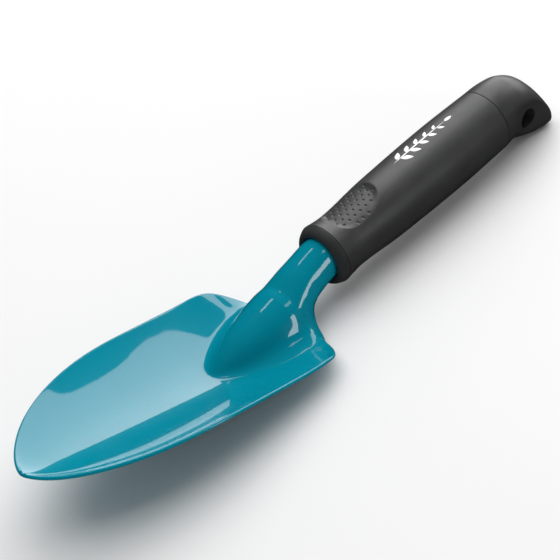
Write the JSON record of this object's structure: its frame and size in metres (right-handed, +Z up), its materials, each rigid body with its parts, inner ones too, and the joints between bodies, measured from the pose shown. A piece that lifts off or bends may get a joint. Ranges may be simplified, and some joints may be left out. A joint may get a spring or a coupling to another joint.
{
  "type": "hand trowel",
  "caption": "Hand trowel: dished steel blade with a cranked neck rolled into a tang, moulded grip and a removable end cap with a hanging hole.",
  "frame": {"origin": "middle of the part's box in X and Y, on the surface that the heel of the end cap rests on", "axes": "+X runs from the blade's tip to the end cap along the grip's axis, +Y to the left, +Z up out of the blade's dish"},
  "size_m": [0.315, 0.084, 0.0369],
  "materials": {
    "coated_steel": "glossy baked coating, teal",
    "core_plastic": "natural moulded plastic",
    "zinc_steel": "zinc plated",
    "grip_plastic": "charcoal moulded plastic, satin with a fine grain",
    "cap_plastic": "charcoal moulded plastic, satin with a fine grain"
  },
  "bodies": {
    "tool": {"blade": "coated_steel", "tang_core": "core_plastic", "core_washer": "zinc_steel", "core_screw": "zinc_steel", "grip_body": "grip_plastic"},
    "cap": {"end_cap": "cap_plastic"}
  },
  "joints": [
    {"name": "cap_pull", "type": "slide", "parent": "tool", "child": "cap", "axis": [1, 0, 0], "range_m": [0, 0.04]}
  ]
}
